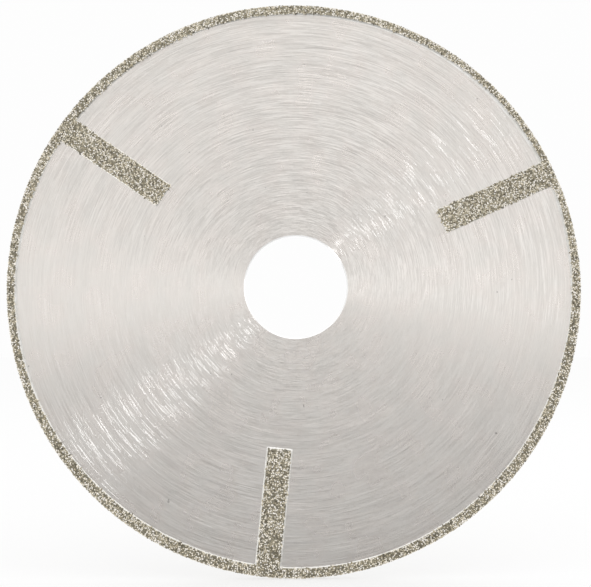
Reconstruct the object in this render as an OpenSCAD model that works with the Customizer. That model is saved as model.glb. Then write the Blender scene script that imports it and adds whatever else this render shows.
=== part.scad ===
// Electroplated diamond grinding wheel for an angle grinder.
// A thin steel blank carries a nickel deposit that holds diamond grit: one band wraps the rim, and
// straight strips run in from it on both faces. Every coated zone is a nickel bond with a narrow bare
// lip at its edge, and a layer of grit that stands proud of it.
// The wheel turns about Y, its front face looks to -Y and +Z is up. The origin is the middle of the
// bore, halfway through the blank. All sizes are in millimetres.

/* [Wheel] */
// Diameter over the tips of the grit
wheel_d = 125; // [110:1:180]
// Diameter of the bore
bore_d = 22.23; // [16:0.01:30]
// Thickness of the steel blank
blank_t = 1.4; // [1.2:0.1:2.5]
// Width of the broken edge on each side of the bore
bore_chamfer = 0.2; // [0.05:0.05:0.3]
// Radius on the blank's outer edge
blank_edge_r = 0.2; // [0.1:0.05:0.3]

/* [Coating] */
// Thickness of the nickel bond above the steel
bond_t = 0.2; // [0.1:0.05:0.4]
// Height of the grit above the nickel bond
grit_t = 0.25; // [0.1:0.05:0.4]
// Depth that the blank is etched to where it is plated
etch_depth = 0.05; // [0.02:0.01:0.08]
// Width of the bare nickel lip at the edge of each coated zone
lip_w = 0.25; // [0.1:0.05:0.5]
// Width of the rim's coated band on each face, grit tips and lip included
band_w = 2.4; // [1.6:0.1:6]

/* [Strips] */
// Angle of each strip, anticlockwise from the right as seen from the front
strip_angles = [24.3, 145.5, 264.3];
// Width of a strip, lips included
strip_w = 5.7; // [3:0.1:10]
// Distance from the axis to a strip's inner end
strip_start_r = 34.8; // [30:0.1:48]

/* [Hidden] */
$fn = 180;
wheel_r = wheel_d / 2;
bore_r = bore_d / 2;
bond_r = wheel_r - grit_t;
blank_r = bond_r - bond_t;
bond_edge_r = blank_edge_r + bond_t;
grit_edge_r = bond_edge_r + grit_t;
bonded_t = blank_t + 2 * bond_t;
coated_t = bonded_t + 2 * grit_t;
etched_t = blank_t - 2 * etch_depth;
etched_r = blank_r - etch_depth;
band_r = wheel_r - band_w;
grit_band_r = band_r + lip_w;
cut_margin = 1;
strip_numbers = [1 : len(strip_angles)];
strip_parts = ["front_strip_bond_", "front_strip_grit_", "back_strip_bond_", "back_strip_grit_"];

// Stands a wheel that lies flat, front face up, on its edge with that face to -Y.
module upright() {
    rotate([90, 0, 0])
        children();
}

// Half section of a disc with round outer corners, from the axis outwards.
module disc_section(radius, thickness, corner_r) {
    corner_x = radius - corner_r;
    corner_y = thickness / 2 - corner_r;
    translate([0, -thickness / 2])
        square([corner_x, thickness]);
    translate([0, -corner_y])
        square([radius, 2 * corner_y]);
    for (side = [-1, 1])
        translate([corner_x, side * corner_y])
            circle(r = corner_r);
}

module blank_section() {
    disc_section(blank_r, blank_t, blank_edge_r);
}

module bond_section() {
    disc_section(bond_r, bonded_t, bond_edge_r);
}

module grit_section() {
    disc_section(wheel_r, coated_t, grit_edge_r);
}

// The blank's section where it is etched for plating.
module etched_section() {
    disc_section(etched_r, etched_t, blank_edge_r - etch_depth);
}

// Everything further from the axis than a radius.
module beyond(radius) {
    translate([radius, -coated_t])
        square([wheel_r, 2 * coated_t]);
}

// The part of the section that faces sideways: a wedge that opens at 45 degrees from the centre of
// the corner's round, so that the face grit and the edge grit meet on a mitre.
module edge_wedge() {
    centre_x = wheel_r - grit_edge_r;
    centre_y = coated_t / 2 - grit_edge_r;
    polygon([
        [centre_x, -centre_y],
        [centre_x + coated_t, -centre_y - coated_t],
        [centre_x + coated_t, centre_y + coated_t],
        [centre_x, centre_y]
    ]);
}

// A strip's outline on the face, cut to a radius at its outer end. The inset leaves the lip bare on
// its two sides and its inner end.
module strip_outline(angle, inset, outer_r) {
    intersection() {
        rotate(angle)
            translate([strip_start_r + inset, inset - strip_w / 2])
                square([wheel_r, strip_w - 2 * inset]);
        circle(r = outer_r);
    }
}

// Nickel of one strip, from the etched steel to the bond's surface.
module strip_bond(angle) {
    color([0.86, 0.85, 0.80])
        upright()
            translate([0, 0, etched_t / 2])
                linear_extrude(bond_t + etch_depth)
                    strip_outline(angle, 0, band_r);
}

// Grit of one strip. It runs over the band's lip to the band's own grit.
module strip_grit(angle) {
    color([0.60, 0.58, 0.46])
        upright()
            translate([0, 0, bonded_t / 2])
                linear_extrude(grit_t)
                    strip_outline(angle, lip_w, grit_band_r);
}

// Moves a piece of the front face to the back face.
module on_back() {
    mirror([0, 1, 0])
        children();
}

// Steel disc with a stepped, etched seat under every coated zone.
module steel_blank() {
    color([0.85, 0.84, 0.82])
        upright()
            difference() {
                rotate_extrude()
                    difference() {
                        blank_section();
                        difference() {
                            beyond(band_r);
                            etched_section();
                        }
                        translate([-cut_margin, -blank_t])
                            square([bore_r + cut_margin, 2 * blank_t]);
                        for (side = [-1, 1])
                            bore_chamfer_section(side);
                    }
                for (angle = strip_angles)
                    for (side = [0, 1])
                        mirror([0, 0, side])
                            translate([0, 0, etched_t / 2])
                                linear_extrude(blank_t)
                                    strip_outline(angle, 0, band_r + cut_margin / 2);
            }
}

// Triangle that breaks the bore's edge on one face.
module bore_chamfer_section(side) {
    polygon([
        [bore_r - bore_chamfer, side * blank_t / 2 + side * bore_chamfer],
        [bore_r + 2 * bore_chamfer, side * blank_t / 2 + side * bore_chamfer],
        [bore_r - bore_chamfer, side * blank_t / 2 - 2 * side * bore_chamfer]
    ]);
}

// Nickel skin that wraps the rim from one face round the edge to the other.
module rim_bond() {
    color([0.86, 0.85, 0.80])
        upright()
            rotate_extrude()
                intersection() {
                    difference() {
                        bond_section();
                        etched_section();
                    }
                    beyond(band_r);
                }
}

// Ring of grit on the front of the rim.
module rim_front_grit() {
    color([0.60, 0.58, 0.46])
        upright()
            rotate_extrude()
                intersection() {
                    difference() {
                        grit_section();
                        bond_section();
                        edge_wedge();
                    }
                    translate([grit_band_r, 0])
                        square([wheel_r, coated_t]);
                }
}

// Ring of grit round the outer edge, which does the cutting.
module rim_edge_grit() {
    color([0.60, 0.58, 0.46])
        upright()
            rotate_extrude()
                intersection() {
                    difference() {
                        grit_section();
                        bond_section();
                    }
                    edge_wedge();
                }
}

// Ring of grit on the back of the rim.
module rim_back_grit() {
    on_back()
        rim_front_grit();
}

steel_blank();
rim_bond();
rim_front_grit();
rim_edge_grit();
rim_back_grit();
for (i = strip_numbers) {
    angle = strip_angles[i - 1];
    strip_bond(angle);
    strip_grit(angle);
    on_back() strip_bond(angle);
    on_back() strip_grit(angle);
}
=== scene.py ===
import itertools
import math

import bmesh
import bpy
import numpy as np
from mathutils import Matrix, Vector


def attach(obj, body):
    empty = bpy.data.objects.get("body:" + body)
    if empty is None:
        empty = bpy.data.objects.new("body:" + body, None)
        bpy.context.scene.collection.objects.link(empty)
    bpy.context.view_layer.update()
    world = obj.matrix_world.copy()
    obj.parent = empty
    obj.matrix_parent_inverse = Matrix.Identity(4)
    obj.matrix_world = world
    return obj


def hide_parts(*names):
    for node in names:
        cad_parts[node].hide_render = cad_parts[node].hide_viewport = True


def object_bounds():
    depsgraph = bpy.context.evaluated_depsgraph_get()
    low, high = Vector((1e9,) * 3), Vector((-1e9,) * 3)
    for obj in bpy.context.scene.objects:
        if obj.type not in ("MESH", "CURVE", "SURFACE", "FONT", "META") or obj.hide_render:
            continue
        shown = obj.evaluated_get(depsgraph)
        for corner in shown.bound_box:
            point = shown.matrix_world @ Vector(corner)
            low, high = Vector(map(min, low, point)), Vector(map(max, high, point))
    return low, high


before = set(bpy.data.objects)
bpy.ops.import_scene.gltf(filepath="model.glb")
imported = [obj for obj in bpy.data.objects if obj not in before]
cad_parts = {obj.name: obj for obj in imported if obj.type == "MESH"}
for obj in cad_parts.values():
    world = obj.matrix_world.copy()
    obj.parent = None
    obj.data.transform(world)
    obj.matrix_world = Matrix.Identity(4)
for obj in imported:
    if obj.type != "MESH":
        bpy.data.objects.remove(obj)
cad_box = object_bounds()

MM = 0.001
FRONT = -1
BACK = 1
# Seed of the grains' random draws. Each noise has a seed of its own, counted on from this one.
SEED = 41


# ---------------------------------------------------------------- what the frame says

def node_points(name):
    """A CAD node's vertices, in metres."""
    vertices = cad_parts[name].data.vertices
    points = np.empty(len(vertices) * 3)
    vertices.foreach_get("co", points)
    return points.reshape(-1, 3)


# Vertices this close to an extreme are taken to lie on it.
RADIUS_TOLERANCE = 0.001 * MM
CORNER_TOLERANCE = 0.005 * MM


def reach(name):
    """Smallest radius, largest radius and half thickness of a CAD node about the wheel's axis."""
    points = node_points(name)
    radius = np.hypot(points[:, 0], points[:, 2])
    return radius.min(), radius.max(), np.abs(points[:, 1]).max()


def corner_radius(name):
    """Radius of the rounded outer corners of a ring-shaped CAD node."""
    points = node_points(name)
    radius = np.hypot(points[:, 0], points[:, 2])
    outermost = radius > radius.max() - RADIUS_TOLERANCE
    return np.abs(points[:, 1]).max() - np.abs(points[outermost, 1]).max()


def strip_place(name):
    """A strip's direction, its inner end's distance from the axis and its half width."""
    points = node_points(name)
    radius = np.hypot(points[:, 0], points[:, 2])
    corners = points[radius < radius.min() + CORNER_TOLERANCE]
    middle = corners.mean(axis=0)
    angle = math.atan2(middle[2], middle[0])
    across = corners[:, 2] * math.cos(angle) - corners[:, 0] * math.sin(angle)
    return {"angle": angle, "start": math.hypot(middle[0], middle[2]), "half": np.abs(across).max()}


BORE_R, BLANK_R, BLANK_HALF = reach("steel_blank")
BAND_R, BOND_R, BOND_HALF = reach("rim_bond")
GRIT_BAND_R, _, GRIT_HALF = reach("rim_front_grit")
CORNER_R = corner_radius("rim_bond")
BOND_T = BOND_HALF - BLANK_HALF
GRIT_T = GRIT_HALF - BOND_HALF
LIP_W = GRIT_BAND_R - BAND_R
STRIPS = [strip_place(f"front_strip_bond_{i}") for i in (1, 2, 3)]


# ---------------------------------------------------------------- noise and small sums

def smooth_step(low, high, value):
    """0 below low, 1 above high and an S curve between."""
    share = np.clip((value - low) / (high - low), 0.0, 1.0)
    return share * share * (3.0 - 2.0 * share)


# Large odd multipliers that scatter a lattice point's whole numbers and its seed over 32 bits.
HASH_X, HASH_Y, HASH_Z = 73856093, 19349663, 83492791
HASH_SEED = 2654435761
HASH_FIRST, HASH_SECOND = 2246822519, 3266489917
LOW_32_BITS = 0xFFFFFFFF


def lattice(cells, seed):
    """A repeatable random value from -1 to 1 for each whole-numbered lattice point."""
    mixed = cells[..., 0] * HASH_X ^ cells[..., 1] * HASH_Y ^ cells[..., 2] * HASH_Z
    mixed = (mixed ^ seed * HASH_SEED) & LOW_32_BITS
    mixed = (mixed ^ mixed >> 15) * HASH_FIRST & LOW_32_BITS
    mixed = (mixed ^ mixed >> 13) * HASH_SECOND & LOW_32_BITS
    mixed = mixed ^ mixed >> 16
    return mixed / 0x7FFFFFFF - 1.0


def noise(points, cell, seed):
    """Smooth noise from -1 to 1 at points (n, 3), with lumps about one cell wide."""
    scaled = points / cell
    corner = np.floor(scaled).astype(np.int64)
    share = scaled - corner
    share = share * share * (3.0 - 2.0 * share)
    total = np.zeros(len(points))
    for offset in itertools.product((0, 1), repeat=3):
        weight = np.prod(np.where(offset, share, 1.0 - share), axis=1)
        total += weight * lattice(corner + np.array(offset), seed)
    return total


# ---------------------------------------------------------------- where the coating lies

# The plated band's inner edge wanders about its nominal circle: (waves per turn, height, place of
# the first crest in degrees).
BAND_WANDER = (
    (1, 0.24 * MM, 75.0),
    (2, 0.22 * MM, 28.0),
    (3, 0.20 * MM, 52.0),
    (4, 0.12 * MM, 15.0),
)
# The coated zones' outline is ragged by this much, in lumps one cell wide with finer ones on them.
EDGE_RAGGED = 0.05 * MM
RAGGED_CELL = 0.55 * MM
FINE_RAGGED_SHARE = 0.6
FINE_RAGGED_STEP = 2.3
# Radius of the strips' rounded inner corners.
END_ROUND = 0.45 * MM
# The bare lip's real width as a share of its nominal width: the band's, and each strip's.
BAND_LIP = 0.7
STRIP_LIPS = (0.3, 0.4, 1.2)
# The grit's outline is ragged by this much more, in lumps one cell wide.
GRIT_RAGGED = 0.17 * MM
GRIT_RAGGED_CELL = 0.6 * MM


def band_edge(angle):
    """Radius at which the band starts, at an angle in radians."""
    radius = np.full_like(angle, BAND_R)
    for waves, height, crest in BAND_WANDER:
        radius += height * np.cos(waves * (angle - math.radians(crest)))
    return radius


def strip_depth(x, z, strip):
    """How far a point lies inside a strip's outline; its inner corners are rounded."""
    along = x * math.cos(strip["angle"]) + z * math.sin(strip["angle"]) - strip["start"]
    across = strip["half"] - np.abs(z * math.cos(strip["angle"]) - x * math.sin(strip["angle"]))
    near = np.minimum(along, across)
    cut_end = np.maximum(END_ROUND - along, 0.0)
    cut_side = np.maximum(END_ROUND - across, 0.0)
    rounded = END_ROUND - np.hypot(cut_end, cut_side)
    depth = np.where((cut_end > 0.0) & (cut_side > 0.0), rounded, near)
    return np.where(along > -strip["start"] / 2.0, depth, -1.0)


def coating_depth(x, z, side):
    """How far a point of a face lies inside the coated zone, the band and the strips together, and
    how wide the bare lip is there."""
    radius = np.hypot(x, z)
    depth = radius - band_edge(np.arctan2(z, x))
    lip = np.full_like(depth, BAND_LIP * LIP_W)
    for strip, share in zip(STRIPS, STRIP_LIPS):
        inside_strip = strip_depth(x, z, strip)
        lip = np.where(inside_strip > depth, share * LIP_W, lip)
        depth = np.maximum(depth, inside_strip)
    points = np.stack([x, np.full_like(x, side * BOND_HALF), z], axis=1)
    coarse = noise(points, RAGGED_CELL, SEED)
    fine = noise(points, RAGGED_CELL / FINE_RAGGED_STEP, SEED + 1)
    return depth + EDGE_RAGGED * (coarse + FINE_RAGGED_SHARE * fine), lip


def grit_depth(x, z, side):
    """How far a point of a face lies inside the grit, whose edge is more ragged than the bond's."""
    depth, lip = coating_depth(x, z, side)
    points = np.stack([x, np.full_like(x, side * GRIT_HALF), z], axis=1)
    return depth - lip + GRIT_RAGGED * noise(points, GRIT_RAGGED_CELL, SEED + 5)


# ---------------------------------------------------------------- the nickel's surface

# Depth of the nickel below the steel's face outside the coated zones.
SINK = 0.02 * MM
# Width over which the lip swells up: a least width, and a share of the lip's own.
LEAST_RISE = 0.26 * MM
RISE_PER_LIP = 0.35
# Height and width of the lumps on the nickel.
NODULE = 0.018 * MM
NODULE_CELL = 0.22 * MM
FINE_NODULE_SHARE = 0.5
# How much the swell's width varies along the lip, and over what length.
LIP_WAVE = 0.20
LIP_WAVE_CELL = 0.8 * MM
# Width over which the nickel turns dull inside the lip: rougher, and painted darker as painted shade
# among the grains.
AMONG_GRIT_FADE = 0.12 * MM


def nickel_surface(x, z, side):
    """Height of the nickel over the steel's face, and how far it lies among the grit, from 0 to 1.
    It swells up in a rounded lip, and outside the coated zone it dips just under the steel."""
    depth, lip = coating_depth(x, z, side)
    points = np.stack([x, np.full_like(x, side * BOND_HALF), z], axis=1)
    coarse = noise(points, NODULE_CELL, SEED + 2)
    fine = noise(points, NODULE_CELL / 2, SEED + 3)
    lumps = NODULE * (coarse + FINE_NODULE_SHARE * fine)
    swell = LEAST_RISE + RISE_PER_LIP * lip
    swell *= 1.0 + LIP_WAVE * noise(points, LIP_WAVE_CELL, SEED + 4)
    rise = smooth_step(0.0, 1.0, depth / swell)
    height = -SINK + rise * (SINK + BOND_T + lumps)
    return height, smooth_step(0.0, AMONG_GRIT_FADE, depth - lip)


# ---------------------------------------------------------------- the rim's wrap-round section

# Where the face's flat ends and the corner's round begins, the length of that round, half the flat
# of the outer edge, and the distance along the section to the face and to the corner's mitre.
FLAT_R = BOND_R - CORNER_R
CORNER_LENGTH = CORNER_R * math.pi / 2.0
EDGE_HALF = BOND_HALF - CORNER_R
WRAP_HALF = CORNER_LENGTH + EDGE_HALF
FACE_START = EDGE_HALF + CORNER_LENGTH / 2.0


def wrap(travel):
    """The bond's nominal surface where it wraps the rim: radius, y and the normal's two parts.
    Travel is the distance along the section from the middle of the edge, negative to the front."""
    side = np.sign(travel)
    away = np.abs(travel)
    turn = np.clip((away - EDGE_HALF) / CORNER_R, 0.0, math.pi / 2.0)
    inward = np.maximum(away - WRAP_HALF, 0.0)
    radius = FLAT_R + CORNER_R * np.cos(turn) - inward
    y = side * (np.minimum(away, EDGE_HALF) + CORNER_R * np.sin(turn))
    return radius, y, np.cos(turn), side * np.sin(turn)


def on_wheel(angle, radius, y):
    """Points at an angle round the axis, a radius and a y, as an (n, 3) array."""
    return np.stack([radius * np.cos(angle), y, radius * np.sin(angle)], axis=-1)


# ---------------------------------------------------------------- meshes and pieces

def new_piece(name, points, faces, material, replaced, smooth):
    """A mesh object that rides on the wheel and stands for a CAD node."""
    mesh = bpy.data.meshes.new(name)
    mesh.from_pydata(points.tolist(), [], faces)
    if smooth:
        mesh.shade_smooth()
    mesh.materials.append(material)
    piece = bpy.data.objects.new(name, mesh)
    bpy.context.scene.collection.objects.link(piece)
    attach(piece, "root")
    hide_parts(replaced)
    return piece


def give_values(piece, name, values):
    """Stores a number for each vertex, for the material to read."""
    attribute = piece.data.attributes.new(name, "FLOAT", "POINT")
    attribute.data.foreach_set("value", values.astype(np.float32))


def grid_quads(rows, columns, wrap_rows=False, wrap_columns=False):
    """Quads of a grid of points stored row by row, closed on itself where asked."""
    row = np.arange(rows if wrap_rows else rows - 1)[:, None]
    column = np.arange(columns if wrap_columns else columns - 1)[None, :]
    next_row = (row + 1) % rows
    next_column = (column + 1) % columns
    corners = (row * columns + column, row * columns + next_column,
               next_row * columns + next_column, next_row * columns + column)
    shape = (row.size, column.size)
    quads = np.stack([np.broadcast_to(corner, shape) for corner in corners], axis=-1)
    return quads.reshape(-1, 4)


# The rim's nickel: steps round the axis, width of a row of its mesh, and how far it lies on a face.
RIM_STEPS = 1460
RIM_ROW = 0.13 * MM
RIM_FACE_WIDTH = 2.9 * MM
# How far the nickel's hidden underside lies below the steel's face.
HIDDEN_DEPTH = 0.04 * MM


def rim_nickel(material):
    """Nickel skin that wraps the rim: face, corner, outer edge, corner and other face."""
    angle = np.linspace(0.0, 2.0 * math.pi, RIM_STEPS, endpoint=False)
    half_rows = int((WRAP_HALF + RIM_FACE_WIDTH) / RIM_ROW)
    travel = np.linspace(-1.0, 1.0, 2 * half_rows + 1) * (WRAP_HALF + RIM_FACE_WIDTH)
    turn, along = np.meshgrid(angle, travel, indexing="ij")
    turn, along = turn.ravel(), along.ravel()
    radius, y, out_radial, out_y = wrap(along)
    side = np.where(along < 0.0, FRONT, BACK)
    on_face = np.abs(along) > WRAP_HALF
    base = on_wheel(turn, radius, y)
    height = NODULE * noise(base, NODULE_CELL, SEED + 2)
    among_grit = np.ones(len(base))
    for face in (FRONT, BACK):
        chosen = on_face & (side == face)
        over_steel, among_grit[chosen] = nickel_surface(base[chosen, 0], base[chosen, 2], face)
        height[chosen] = over_steel - BOND_T
    skin = on_wheel(turn, radius + height * out_radial, y + height * out_y)
    skin = skin.reshape(RIM_STEPS, -1, 3)
    inner_r = FLAT_R - RIM_FACE_WIDTH
    deep_y = BLANK_HALF - HIDDEN_DEPTH - SINK
    deep_r = BLANK_R - 2.0 * HIDDEN_DEPTH
    hidden = [(inner_r, deep_y), (deep_r, deep_y), (deep_r, -deep_y), (inner_r, -deep_y)]
    inside = np.stack([on_wheel(angle, r, np.full_like(angle, h)) for r, h in hidden], axis=1)
    points = np.concatenate([skin, inside], axis=1)
    faces = grid_quads(RIM_STEPS, points.shape[1], wrap_rows=True, wrap_columns=True)
    among_grit = np.concatenate([among_grit.reshape(RIM_STEPS, -1), np.ones(inside.shape[:2])], axis=1)
    piece = new_piece("rim_nickel", points.reshape(-1, 3), faces.tolist(), material,
                      "rim_bond", True)
    give_values(piece, "among_grit", among_grit.ravel())


# A strip's nickel: size of its mesh's cells, how far the mesh runs past the strip's outline, and how
# far it is tucked under the band's nickel.
STRIP_CELL = 0.13 * MM
STRIP_MARGIN = 0.4 * MM
STRIP_TUCK = 0.015 * MM


def strip_nickel(strip, number, side, material):
    """Nickel of one strip: a lumpy plate with a raised lip, closed underneath."""
    length = FLAT_R - CORNER_R - strip["start"] + STRIP_MARGIN
    width = 2.0 * (strip["half"] + STRIP_MARGIN)
    rows = int(length / STRIP_CELL)
    columns = int(width / STRIP_CELL)
    start = strip["start"] - STRIP_MARGIN
    along = np.linspace(start, start + length, rows)
    across = np.linspace(-width / 2.0, width / 2.0, columns)
    grid = np.meshgrid(along, across, indexing="ij")
    along, across = (places.ravel() for places in grid)
    x = along * math.cos(strip["angle"]) - across * math.sin(strip["angle"])
    z = along * math.sin(strip["angle"]) + across * math.cos(strip["angle"])
    tucked = STRIP_TUCK * (np.hypot(x, z) > BAND_R)
    height, among_grit = nickel_surface(x, z, side)
    top = np.stack([x, side * (BLANK_HALF + height - tucked), z], axis=1)
    border = np.concatenate([
        np.arange(columns),
        np.arange(1, rows) * columns + columns - 1,
        (rows - 1) * columns + np.arange(columns - 2, -1, -1),
        np.arange(rows - 2, 0, -1) * columns,
    ])
    bottom = top[border].copy()
    bottom[:, 1] = side * (BLANK_HALF - HIDDEN_DEPTH)
    first = len(top)
    ring = np.arange(len(border))
    after = np.roll(ring, -1)
    walls = np.stack([border[after], border[ring], first + ring, first + after], axis=1)
    faces = grid_quads(rows, columns).tolist() + walls.tolist() + [(first + ring[::-1]).tolist()]
    if side == BACK:
        faces = [face[::-1] for face in faces]
    word = "front" if side == FRONT else "back"
    piece = new_piece(f"{word}_strip_nickel_{number}", np.concatenate([top, bottom]), faces,
                      material, f"{word}_strip_bond_{number}", True)
    give_values(piece, "among_grit", np.concatenate([among_grit, among_grit[border]]))


# ---------------------------------------------------------------- the diamond crystals

CRYSTAL_KINDS = 40
# Least and greatest stretch of a crystal's sides, and how far its corners are knocked about.
CRYSTAL_STRETCH = (0.72, 1.25)
CORNER_KNOCK = 0.13
# Grains lie in staggered rows, jittered by a share of their pitch; rows are closer than grains.
GRAIN_PITCH = 0.375 * MM
ROW_SHARE = 0.87
GRAIN_JITTER = 0.30
# A grain's radius: its mean, its spread and its least.
GRAIN_R_MEAN = 0.228 * MM
GRAIN_R_SPREAD = 0.028 * MM
GRAIN_R_LEAST = 0.13 * MM
# Mean depth of a grain's centre below the bond's surface, and its tip's least distance inside the
# CAD layer.
GRAIN_SINK = 0.03 * MM
TIP_MARGIN = 0.004 * MM
# Share of the grains left out as gaps.
MISSING_SHARE = 0.04


def crystal_shapes(rng):
    """Blocky crystals about 1 in radius: cuboctahedra of uneven sides with knocked corners."""
    grid = itertools.product((-1.0, 0.0, 1.0), repeat=3)
    corners = [place for place in grid if sum(map(abs, place)) == 2.0]
    shapes = []
    for _ in range(CRYSTAL_KINDS):
        stretch = rng.uniform(*CRYSTAL_STRETCH, 3)
        knocks = rng.normal(0.0, CORNER_KNOCK, (len(corners), 3))
        points = np.array(corners) * stretch + knocks
        points /= np.linalg.norm(points, axis=1).max()
        solid = bmesh.new()
        for point in points:
            solid.verts.new(point)
        hull = bmesh.ops.convex_hull(solid, input=solid.verts)
        unused = hull["geom_interior"] + hull["geom_unused"]
        spare = {item for item in unused if isinstance(item, bmesh.types.BMVert)}
        bmesh.ops.delete(solid, geom=list(spare), context="VERTS")
        bmesh.ops.triangulate(solid, faces=solid.faces)
        solid.verts.index_update()
        places = np.array([vertex.co[:] for vertex in solid.verts])
        triangles = np.array([[vertex.index for vertex in face.verts] for face in solid.faces])
        shapes.append((places, triangles))
        solid.free()
    return shapes


def random_turns(count, rng):
    """Rotation matrices, evenly spread over all directions."""
    w, x, y, z = rng.normal(size=(4, count))
    size = np.sqrt(w * w + x * x + y * y + z * z)
    w, x, y, z = w / size, x / size, y / size, z / size
    return np.stack([
        np.stack([1 - 2 * (y * y + z * z), 2 * (x * y - w * z), 2 * (x * z + w * y)], axis=1),
        np.stack([2 * (x * y + w * z), 1 - 2 * (x * x + z * z), 2 * (y * z - w * x)], axis=1),
        np.stack([2 * (x * z - w * y), 2 * (y * z + w * x), 1 - 2 * (x * x + y * y)], axis=1),
    ], axis=1)


def grit_piece(name, replaced, sites, normals, shapes, rng, material):
    """One piece of grit: a crystal at each site, sunk in the nickel, its tip in the CAD layer."""
    count = len(sites)
    highest = GRIT_T - TIP_MARGIN
    size = np.clip(rng.normal(GRAIN_R_MEAN, GRAIN_R_SPREAD, count), GRAIN_R_LEAST, highest)
    lift = np.minimum(rng.normal(-GRAIN_SINK, GRAIN_SINK / 2.0, count), highest - size)
    centres = sites + normals * lift[:, None]
    turns = random_turns(count, rng)
    kinds = rng.integers(0, len(shapes), count)
    tone, tint, gloss = (rng.random(count) for _ in range(3))
    looks = np.stack([tone, tint, gloss, np.ones(count)], axis=1)
    points, faces, colours = [], [], []
    first = 0
    for kind, (corners, triangles) in enumerate(shapes):
        chosen = np.flatnonzero(kinds == kind)
        placed = np.einsum("nij,vj->nvi", turns[chosen], corners) * size[chosen, None, None]
        placed += centres[chosen, None, :]
        points.append(placed.reshape(-1, 3))
        starts = first + np.arange(len(chosen)) * len(corners)
        faces.append((triangles[None] + starts[:, None, None]).reshape(-1, 3))
        colours.append(np.repeat(looks[chosen], len(corners), axis=0))
        first += len(chosen) * len(corners)
    piece = new_piece(name, np.concatenate(points), np.concatenate(faces).tolist(), material,
                      replaced, False)
    attribute = piece.data.attributes.new("grain", "FLOAT_COLOR", "POINT")
    attribute.data.foreach_set("color", np.concatenate(colours).ravel().astype(np.float32))


def thin_out(keep, rng):
    """Leaves out a few of the kept sites, as gaps in the plating."""
    return keep & (rng.random(len(keep)) > MISSING_SHARE)


def rim_sites(rng):
    """Sites all over the wrap of the rim: distance along the section, place and normal of each."""
    reach_in = WRAP_HALF + RIM_FACE_WIDTH
    rows = int(reach_in / (GRAIN_PITCH * ROW_SHARE))
    angle, travel = [], []
    for row in range(-rows, rows + 1):
        middle = row * GRAIN_PITCH * ROW_SHARE
        radius = wrap(np.array([middle]))[0][0]
        count = int(2.0 * math.pi * radius / GRAIN_PITCH)
        step = 2.0 * math.pi / count
        shift = GRAIN_JITTER * rng.uniform(-1, 1, count)
        place = (np.arange(count) + 0.5 * (row % 2) + shift) * step
        angle.append(place)
        travel.append(middle + GRAIN_PITCH * GRAIN_JITTER * rng.uniform(-1, 1, count))
    angle, travel = np.concatenate(angle), np.concatenate(travel)
    radius, y, out_radial, out_y = wrap(travel)
    return travel, on_wheel(angle, radius, y), on_wheel(angle, out_radial, out_y)


def rim_grit(shapes, rng, material):
    """Grit of the rim: front ring, edge ring and back ring."""
    travel, sites, normals = rim_sites(rng)
    side = np.where(travel < 0.0, FRONT, BACK)
    on_face = np.abs(travel) > WRAP_HALF
    keep = np.ones(len(travel), bool)
    for face in (FRONT, BACK):
        chosen = on_face & (side == face)
        band = sites[chosen]
        radius = np.hypot(band[:, 0], band[:, 2])
        start = band_edge(np.arctan2(band[:, 2], band[:, 0]))
        keep[chosen] = (grit_depth(band[:, 0], band[:, 2], face) > 0.0) & (radius > start - LIP_W)
    keep = thin_out(keep, rng)
    edge = np.abs(travel) < FACE_START
    zones = {"front": ~edge & (side == FRONT), "edge": edge, "back": ~edge & (side == BACK)}
    for word, zone in zones.items():
        chosen = keep & zone
        grit_piece(f"rim_{word}_diamonds", f"rim_{word}_grit", sites[chosen], normals[chosen],
                   shapes, rng, material)


def strip_grit(strip, number, side, shapes, rng, material):
    """Grit of one strip, as far as the band's own grit."""
    step = GRAIN_PITCH * ROW_SHARE
    rows = int((BOND_R - strip["start"]) / step)
    columns = int(2.0 * strip["half"] / GRAIN_PITCH) + 1
    grid = np.meshgrid(np.arange(rows), np.arange(columns), indexing="ij")
    row, column = (numbers.ravel() for numbers in grid)
    jitter = GRAIN_JITTER * rng.uniform(-1, 1, (2, len(row)))
    along = strip["start"] + (row + jitter[0]) * step
    across = (column + 0.5 * (row % 2) + jitter[1]) * GRAIN_PITCH - strip["half"]
    x = along * math.cos(strip["angle"]) - across * math.sin(strip["angle"])
    z = along * math.sin(strip["angle"]) + across * math.cos(strip["angle"])
    before_band = np.hypot(x, z) < band_edge(np.arctan2(z, x)) - LIP_W
    keep = thin_out((grit_depth(x, z, side) > 0.0) & before_band, rng)
    sites = np.stack([x, np.full_like(x, side * BOND_HALF), z], axis=1)[keep]
    normals = np.tile([0.0, float(side), 0.0], (len(sites), 1))
    word = "front" if side == FRONT else "back"
    grit_piece(f"{word}_strip_diamonds_{number}", f"{word}_strip_grit_{number}", sites, normals,
               shapes, rng, material)


# ---------------------------------------------------------------- materials

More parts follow.
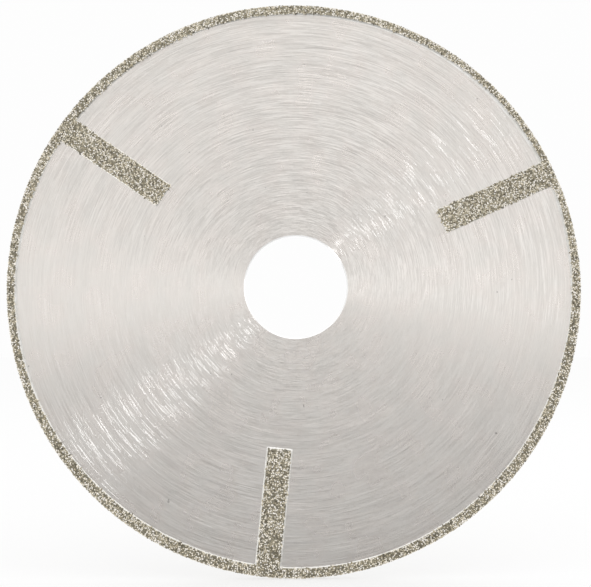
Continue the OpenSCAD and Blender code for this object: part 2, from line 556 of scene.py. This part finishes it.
class Graph:
    """A material's node tree, with short calls for the nodes used here."""

    def __init__(self, name):
        self.material = bpy.data.materials.new(name)
        self.material.use_nodes = True
        self.tree = self.material.node_tree
        self.tree.nodes.clear()

    def put(self, socket, value):
        """Links a node's output to a socket, or sets a constant on it."""
        if isinstance(value, bpy.types.NodeSocket):
            self.tree.links.new(value, socket)
        else:
            socket.default_value = value

    def add(self, kind, inputs=None, **settings):
        node = self.tree.nodes.new(kind)
        for key, value in settings.items():
            setattr(node, key, value)
        for key, value in (inputs or {}).items():
            self.put(node.inputs[key], value)
        return node

    def math(self, operation, a, b=0.0, c=0.0):
        return self.add("ShaderNodeMath", {0: a, 1: b, 2: c}, operation=operation).outputs[0]

    def vector(self, operation, a, b=(0.0, 0.0, 0.0), c=(0.0, 0.0, 0.0)):
        node = self.add("ShaderNodeVectorMath", {0: a, 1: b, 2: c}, operation=operation)
        return node.outputs[0]

    def remap(self, value, low, high, to_low, to_high, smooth=True):
        kind = "SMOOTHSTEP" if smooth else "LINEAR"
        inputs = {"Value": value, "From Min": low, "From Max": high}
        inputs |= {"To Min": to_low, "To Max": to_high}
        return self.add("ShaderNodeMapRange", inputs, interpolation_type=kind).outputs["Result"]

    def join(self, x, y, z):
        return self.add("ShaderNodeCombineXYZ", {0: x, 1: y, 2: z}).outputs[0]

    def noise(self, vector, scale, detail=2.0, roughness=0.5):
        inputs = {"Vector": vector, "Scale": scale, "Detail": detail, "Roughness": roughness}
        return self.add("ShaderNodeTexNoise", inputs).outputs["Fac"]

    def ramp(self, value, stops):
        node = self.add("ShaderNodeValToRGB", {"Fac": value})
        elements = node.color_ramp.elements
        while len(elements) < len(stops):
            elements.new(1.0)
        for element, (place, colour) in zip(elements, stops):
            element.position = place
            element.color = (*colour, 1.0)
        return node.outputs["Color"]

    def mix(self, share, a, b):
        node = self.add("ShaderNodeMix", data_type="RGBA")
        self.put(node.inputs[0], share)
        self.put(node.inputs[6], a)
        self.put(node.inputs[7], b)
        return node.outputs[2]

    def finish(self, inputs):
        """Ends the tree in a Principled shader and returns the material."""
        shader = self.add("ShaderNodeBsdfPrincipled", inputs)
        self.add("ShaderNodeOutputMaterial", {"Surface": shader.outputs[0]})
        return self.material


STEEL_WARM = (0.816, 0.764, 0.716, 1.0)
STEEL_COOL = (0.802, 0.764, 0.718, 1.0)
STEEL_POLISHED_GLINT = (0.98, 0.975, 0.965, 1.0)
STEEL_ROUGH = 0.28
STEEL_ANISOTROPY = 0.93
# Width of the bore's polished broken edge, whose colour is painted near-white as a painted
# highlight, and the share of it over which that painted highlight fades out.
BORE_BREAK = 0.2 * MM
BORE_BREAK_FADE = 0.1
# Grinding rings: how many lumps of shade per metre from the axis, and how strong.
RING_SCALE = 2400.0
RING_SHADE = 0.06
# Patches of warm and cool steel, a little smoother and rougher too: noise scale, the noise's range
# that the colours change over, and the change of roughness.
PATCH_SCALE = 160.0
PATCH_RANGE = (0.35, 0.65)
PATCH_ROUGH = 0.06
# Small dark specks: noise scale, the noise's range that they darken over, and how much.
SPECK_SCALE = 900.0
SPECK_RANGE = (0.89, 0.93)
SPECK_SHADE = 0.4
# Sets of grinding scratches: rows per metre, rows that the set spirals by in a turn, scratches in a
# turn, a power (the higher, the fewer stand out) and steepness. The fine ones tilt the steel itself.
# The bright ones tilt only its clear coat, which flashes where it mirrors the small lamp.
FINE_SCRATCHES = (
    (6300.0, 17.0, 47.0, 1.5, 0.038),
    (8100.0, -23.0, 53.0, 1.5, 0.045),
    (10300.0, 7.0, 43.0, 1.0, 0.05),
)
BRIGHT_SCRATCHES = (
    (7900.0, -29.0, 57.0, 0.5, 0.90),
)
# Share of a scratch's length over which it fades at each end, and how far each kind's tilt is also
# painted into the steel's colour, lighter one way and darker the other, as painted light and shade.
SCRATCH_TAPER = 0.15
FINE_PAINTED_SHADE = 0.55
BRIGHT_PAINTED_SHADE = 0.05
COAT_ROUGH = 0.15
COAT_IOR = 1.8


def brushed_steel():
    """Steel ground in rings: streaks and short scratches that run round the axis, their tilt also
    painted into the colour as painted light and shade, a clear coat with steeper scratches of its
    own, and a polished broken edge at the bore, painted near-white as a painted highlight."""
    g = Graph("brushed_steel")
    place = g.add("ShaderNodeTexCoord").outputs["Object"]
    normal = g.add("ShaderNodeNewGeometry").outputs["Normal"]
    parts = g.add("ShaderNodeSeparateXYZ", {0: place})
    x, _, z = parts.outputs
    radius = g.math("SQRT", g.math("ADD", g.math("MULTIPLY", x, x), g.math("MULTIPLY", z, z)))
    cosine = g.math("DIVIDE", x, radius)
    sine = g.math("DIVIDE", z, radius)
    radial = g.join(cosine, 0.0, sine)

    turn = g.math("DIVIDE", g.math("ARCTAN2", z, x), 2.0 * math.pi)

    def scratches(rows_per_m, spiral, per_turn, power):
        """A random depth for each short scratch, from -1 to 1; the higher the power, the fewer
        scratches stand out. They lie in rows that spiral a little off the rings."""
        across = g.math("MULTIPLY_ADD", radius, rows_per_m, g.math("MULTIPLY", turn, spiral))
        row = g.math("FLOOR", across)
        start = g.add("ShaderNodeTexWhiteNoise", {"W": row}, noise_dimensions="1D").outputs["Value"]
        along = g.math("MULTIPLY_ADD", turn, per_turn, start)
        cell = g.join(row, g.math("FLOOR", along), spiral)
        chance = g.add("ShaderNodeTexWhiteNoise", {"Vector": cell}, noise_dimensions="3D")
        centred = g.math("MULTIPLY_ADD", chance.outputs["Value"], 2.0, -1.0)
        middle = g.math("PINGPONG", along, 0.5)
        depth = g.math("POWER", g.math("ABSOLUTE", centred), power)
        depth = g.math("MULTIPLY", depth, g.remap(middle, 0.0, SCRATCH_TAPER, 0.0, 1.0))
        return g.math("MULTIPLY", g.math("SIGN", centred), depth)

    def tilt(sets):
        """Slope of the scratches of some sets together, and the surface's normal tilted by it."""
        slope = 0.0
        for rows_per_m, spiral, per_turn, power, steepness in sets:
            marks = scratches(rows_per_m, spiral, per_turn, power)
            slope = g.math("MULTIPLY_ADD", marks, steepness, slope)
        leaning = g.vector("MULTIPLY_ADD", radial, g.join(slope, slope, slope), normal)
        return slope, g.vector("NORMALIZE", leaning)

    slope, tilted = tilt(FINE_SCRATCHES)
    steep_slope, glinting = tilt(BRIGHT_SCRATCHES)

    rings = g.noise(g.join(0.0, 0.0, g.math("MULTIPLY", radius, RING_SCALE)), 1.0)
    patch = g.noise(place, PATCH_SCALE)
    specks = g.noise(place, SPECK_SCALE, detail=0.0)
    mottle = g.mix(g.remap(patch, *PATCH_RANGE, 0.0, 1.0), STEEL_WARM, STEEL_COOL)
    tone_and_painted_shade = g.math("MULTIPLY_ADD", g.math("SUBTRACT", rings, 0.5), RING_SHADE, 1.0)
    # Painted light and shade: the scratches' slope lightens the colour where they tilt one way and
    # darkens it where they tilt the other.
    tone_and_painted_shade = g.math("MULTIPLY_ADD", slope, FINE_PAINTED_SHADE, tone_and_painted_shade)
    tone_and_painted_shade = g.math("MULTIPLY_ADD", steep_slope, BRIGHT_PAINTED_SHADE, tone_and_painted_shade)
    tone_and_painted_shade = g.math("SUBTRACT", tone_and_painted_shade, g.remap(specks, *SPECK_RANGE, 0.0, SPECK_SHADE))
    colour = g.vector("MULTIPLY", mottle, g.join(tone_and_painted_shade, tone_and_painted_shade, tone_and_painted_shade))
    # Painted highlight: the bore's broken edge is painted near-white, partly polish and partly a
    # painted glint.
    edge_glint_end = BORE_R + BORE_BREAK
    edge_glint = g.remap(radius, edge_glint_end, edge_glint_end + BORE_BREAK_FADE * BORE_BREAK, 1.0, 0.0)
    colour = g.mix(edge_glint, colour, STEEL_POLISHED_GLINT)
    rough = g.math("MULTIPLY_ADD", g.math("SUBTRACT", patch, 0.5), PATCH_ROUGH, STEEL_ROUGH)
    return g.finish({
        "Base Color": colour,
        "Metallic": 1.0,
        "Roughness": rough,
        "Anisotropic": STEEL_ANISOTROPY,
        "Tangent": radial,
        "Normal": tilted,
        "Coat Weight": 1.0,
        "Coat Roughness": COAT_ROUGH,
        "Coat IOR": COAT_IOR,
        "Coat Normal": glinting,
    })


NICKEL_BRIGHT = [
    (0.30, (0.80, 0.78, 0.73)),
    (0.55, (0.90, 0.885, 0.85)),
    (0.80, (0.95, 0.94, 0.92)),
]
# Painted shade: nickel down among the grains is painted dark olive for the shade that falls between
# them.
NICKEL_PAINTED_SHADE = [
    (0.30, (0.26, 0.24, 0.18)),
    (0.70, (0.46, 0.43, 0.34)),
]
# Noise that picks the colour, and finer noise for the pebbled surface.
NICKEL_CLOUD_SCALE = 600.0
PEBBLE_SCALE = 7000.0
PEBBLE_BUMP = 0.35
PEBBLE_HEIGHT = 0.03 * MM
# Roughness over a range of the pebbles' noise, and what lying among the grit adds to it.
PEBBLE_RANGE = (0.3, 0.7)
NICKEL_ROUGH = (0.38, 0.54)
AMONG_GRIT_ROUGH = 0.08


def nickel():
    """Electroplated nickel: a bright pebbled lip; down among the grains rougher, and painted dark
    olive as painted shade.
    """
    g = Graph("plated_nickel")
    place = g.add("ShaderNodeTexCoord").outputs["Object"]
    among_grit = g.add("ShaderNodeAttribute", attribute_name="among_grit").outputs["Fac"]
    pebbles = g.noise(place, PEBBLE_SCALE, detail=3.0)
    cloud = g.noise(place, NICKEL_CLOUD_SCALE)
    # Painted shade: the colour turns to the dark olive set as the nickel lies among the grit.
    colour = g.mix(among_grit, g.ramp(cloud, NICKEL_BRIGHT), g.ramp(cloud, NICKEL_PAINTED_SHADE))
    relief = {"Height": pebbles, "Strength": PEBBLE_BUMP, "Distance": PEBBLE_HEIGHT}
    bump = g.add("ShaderNodeBump", relief).outputs[0]
    rough = g.remap(pebbles, *PEBBLE_RANGE, *NICKEL_ROUGH, smooth=False)
    rough = g.math("MULTIPLY_ADD", among_grit, AMONG_GRIT_ROUGH, rough)
    return g.finish({"Base Color": colour, "Metallic": 1.0, "Roughness": rough, "Normal": bump})


# Colours of the grains, from the darkest to the lightest.
GRAIN_TONES = [
    (0.00, (0.065, 0.052, 0.030)),
    (0.17, (0.175, 0.145, 0.092)),
    (0.36, (0.445, 0.384, 0.264)),
    (0.55, (0.805, 0.728, 0.575)),
    (0.74, (0.945, 0.888, 0.790)),
    (1.00, (0.980, 0.942, 0.900)),
]
# Clouds inside a grain shift its tone; the greyest grains are this share grey.
GRAIN_CLOUD_SCALE = 5200.0
GRAIN_CLOUD_SHIFT = 0.45
GRAIN_GREY = (0.30, 0.285, 0.24, 1.0)
GREY_SHARE = 0.25
# Least roughness of a grain, and the most that its own random number adds.
GRAIN_ROUGH = 0.12
GRAIN_ROUGH_SPREAD = 0.25
GRAIN_IOR = 1.6


def diamond():
    """Synthetic diamond grit: glassy grains from dark olive to cream, cloudy inside."""
    g = Graph("diamond_grit")
    grain = g.add("ShaderNodeAttribute", attribute_name="grain").outputs["Color"]
    tone, tint, gloss = g.add("ShaderNodeSeparateColor", {0: grain}).outputs
    place = g.add("ShaderNodeTexCoord").outputs["Object"]
    cloud = g.noise(place, GRAIN_CLOUD_SCALE, detail=3.0, roughness=0.6)
    shift = g.math("MULTIPLY_ADD", g.math("SUBTRACT", cloud, 0.5), GRAIN_CLOUD_SHIFT, tone)
    colour = g.ramp(shift, GRAIN_TONES)
    greyed = g.mix(g.math("MULTIPLY", tint, GREY_SHARE), colour, GRAIN_GREY)
    rough = g.math("MULTIPLY_ADD", gloss, GRAIN_ROUGH_SPREAD, GRAIN_ROUGH)
    return g.finish({"Base Color": greyed, "Roughness": rough, "IOR": GRAIN_IOR})


# ---------------------------------------------------------------- stage, lights and camera

# The camera's distance from the wheel's middle, how far it stands off the axis and to which side
# (anticlockwise from the right), its lens in millimetres, its near and far clip and its aim.
CAMERA_DISTANCE = 209.65 * MM
CAMERA_TILT = math.radians(4.1)
CAMERA_SIDE = math.radians(249.0)
CAMERA_LENS = 58.66
CAMERA_CLIP = (0.01, 50.0)
CAMERA_AIM = Vector((-0.08 * MM, 0.0, -1.41 * MM))
# What the camera sees behind the wheel.
WHITE = (0.985, 0.985, 0.985, 1.0)
# Brightness of the surroundings: (axis of the direction, low, high, brightness at low, brightness at
# high). It rises at the horizon, again towards overhead, and from the dim room in front to the white
# backdrop. The brightest of the three counts.
WORLD_ZONES = (
    ("Z", -0.17, 0.00, 0.26, 0.97),
    ("Z", 0.05, 0.60, 0.00, 1.15),
    ("Y", -0.75, -0.30, 0.00, 0.95),
)


def add_camera():
    """Camera in front of the face, a little below the axis and to the left of it."""
    data = bpy.data.cameras.new("camera")
    data.lens = CAMERA_LENS
    data.clip_start, data.clip_end = CAMERA_CLIP
    camera = bpy.data.objects.new("camera", data)
    aside = CAMERA_DISTANCE * math.sin(CAMERA_TILT)
    ahead = CAMERA_DISTANCE * math.cos(CAMERA_TILT)
    camera.location = (aside * math.cos(CAMERA_SIDE), -ahead, aside * math.sin(CAMERA_SIDE))
    look = CAMERA_AIM - camera.location
    camera.rotation_euler = look.to_track_quat("-Z", "Y").to_euler()
    bpy.context.scene.collection.objects.link(camera)
    bpy.context.scene.camera = camera


def add_world():
    """White surroundings for the camera; softer light, dim from low in front, for all else."""
    world = bpy.data.worlds.new("studio")
    world.use_nodes = True
    bpy.context.scene.world = world
    tree = world.node_tree
    tree.nodes.clear()
    nodes, links = tree.nodes, tree.links
    direction = nodes.new("ShaderNodeTexCoord")
    split = nodes.new("ShaderNodeSeparateXYZ")
    links.new(direction.outputs["Generated"], split.inputs[0])
    soft = nodes.new("ShaderNodeBackground")
    soft.inputs["Color"].default_value = (1.0, 1.0, 1.0, 1.0)
    brightest = None
    for axis, *zone in WORLD_ZONES:
        change = nodes.new("ShaderNodeMapRange")
        change.interpolation_type = "SMOOTHSTEP"
        for name, value in zip(("From Min", "From Max", "To Min", "To Max"), zone):
            change.inputs[name].default_value = value
        links.new(split.outputs[axis], change.inputs["Value"])
        brighter = nodes.new("ShaderNodeMath")
        brighter.operation = "MAXIMUM"
        brighter.inputs[1].default_value = 0.0
        links.new(change.outputs["Result"], brighter.inputs[0])
        if brightest is not None:
            links.new(brightest, brighter.inputs[1])
        brightest = brighter.outputs[0]
    links.new(brightest, soft.inputs["Strength"])
    plain = nodes.new("ShaderNodeBackground")
    plain.inputs["Color"].default_value = WHITE
    ray = nodes.new("ShaderNodeLightPath")
    mix = nodes.new("ShaderNodeMixShader")
    links.new(ray.outputs["Is Camera Ray"], mix.inputs[0])
    links.new(soft.outputs[0], mix.inputs[1])
    links.new(plain.outputs[0], mix.inputs[2])
    output = nodes.new("ShaderNodeOutputWorld")
    links.new(mix.outputs[0], output.inputs["Surface"])


# The lamps: (name, direction from the wheel's middle, size in metres, power in watts).
LAMP_DISTANCE = 0.9
LAMPS = (
    ("glint", (-0.741, -0.342, -0.579), 0.28, 1.2),
    ("right", (0.87, -0.12, 0.22), 0.6, 0.85),
    ("top", (0.20, -0.10, 0.88), 0.6, 0.6),
)


def add_softbox(name, direction, size, power):
    """A square softbox that faces the wheel's middle and doesn't show itself to the camera."""
    data = bpy.data.lights.new(name, "AREA")
    data.shape = "SQUARE"
    data.size = size
    data.energy = power
    light = bpy.data.objects.new(name, data)
    light.location = Vector(direction).normalized() * LAMP_DISTANCE
    light.rotation_euler = (-light.location).to_track_quat("-Z", "Y").to_euler()
    light.visible_camera = False
    bpy.context.scene.collection.objects.link(light)


FLOOR_SIZE = 8.0
FLOOR_GREY = (0.30, 0.30, 0.30, 1.0)
# The floor's own glow, which brings it up to the white of the surroundings.
FLOOR_GLOW = 0.645


def add_floor():
    """White floor that the wheel stands on. The steel doesn't mirror it, and it lets the lamps'
    light through."""
    bed = bmesh.new()
    bmesh.ops.create_grid(bed, x_segments=1, y_segments=1, size=FLOOR_SIZE)
    mesh = bpy.data.meshes.new("floor")
    bed.to_mesh(mesh)
    bed.free()
    floor = bpy.data.objects.new("floor", mesh)
    floor.location.z = cad_box[0][2]
    bpy.context.scene.collection.objects.link(floor)
    floor.visible_glossy = False
    floor.visible_shadow = False
    g = Graph("white_floor")
    mesh.materials.append(g.finish({
        "Base Color": FLOOR_GREY,
        "Roughness": 1.0,
        "Specular IOR Level": 0.0,
        "Emission Color": (1.0, 1.0, 1.0, 1.0),
        "Emission Strength": FLOOR_GLOW,
    }))


# ---------------------------------------------------------------- the model

def build_wheel():
    """Gives the blank its finish, and adds the nickel and the grit of the rim and the strips."""
    rng = np.random.default_rng(SEED)
    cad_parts["steel_blank"].material_slots[0].material = brushed_steel()
    metal = nickel()
    grit = diamond()
    shapes = crystal_shapes(rng)
    rim_nickel(metal)
    rim_grit(shapes, rng, grit)
    for side in (FRONT, BACK):
        for number, strip in enumerate(STRIPS, start=1):
            strip_nickel(strip, number, side, metal)
            strip_grit(strip, number, side, shapes, rng, grit)


build_wheel()
add_floor()
add_world()
for lamp in LAMPS:
    add_softbox(*lamp)
add_camera()
bpy.context.scene.view_settings.view_transform = "Standard"
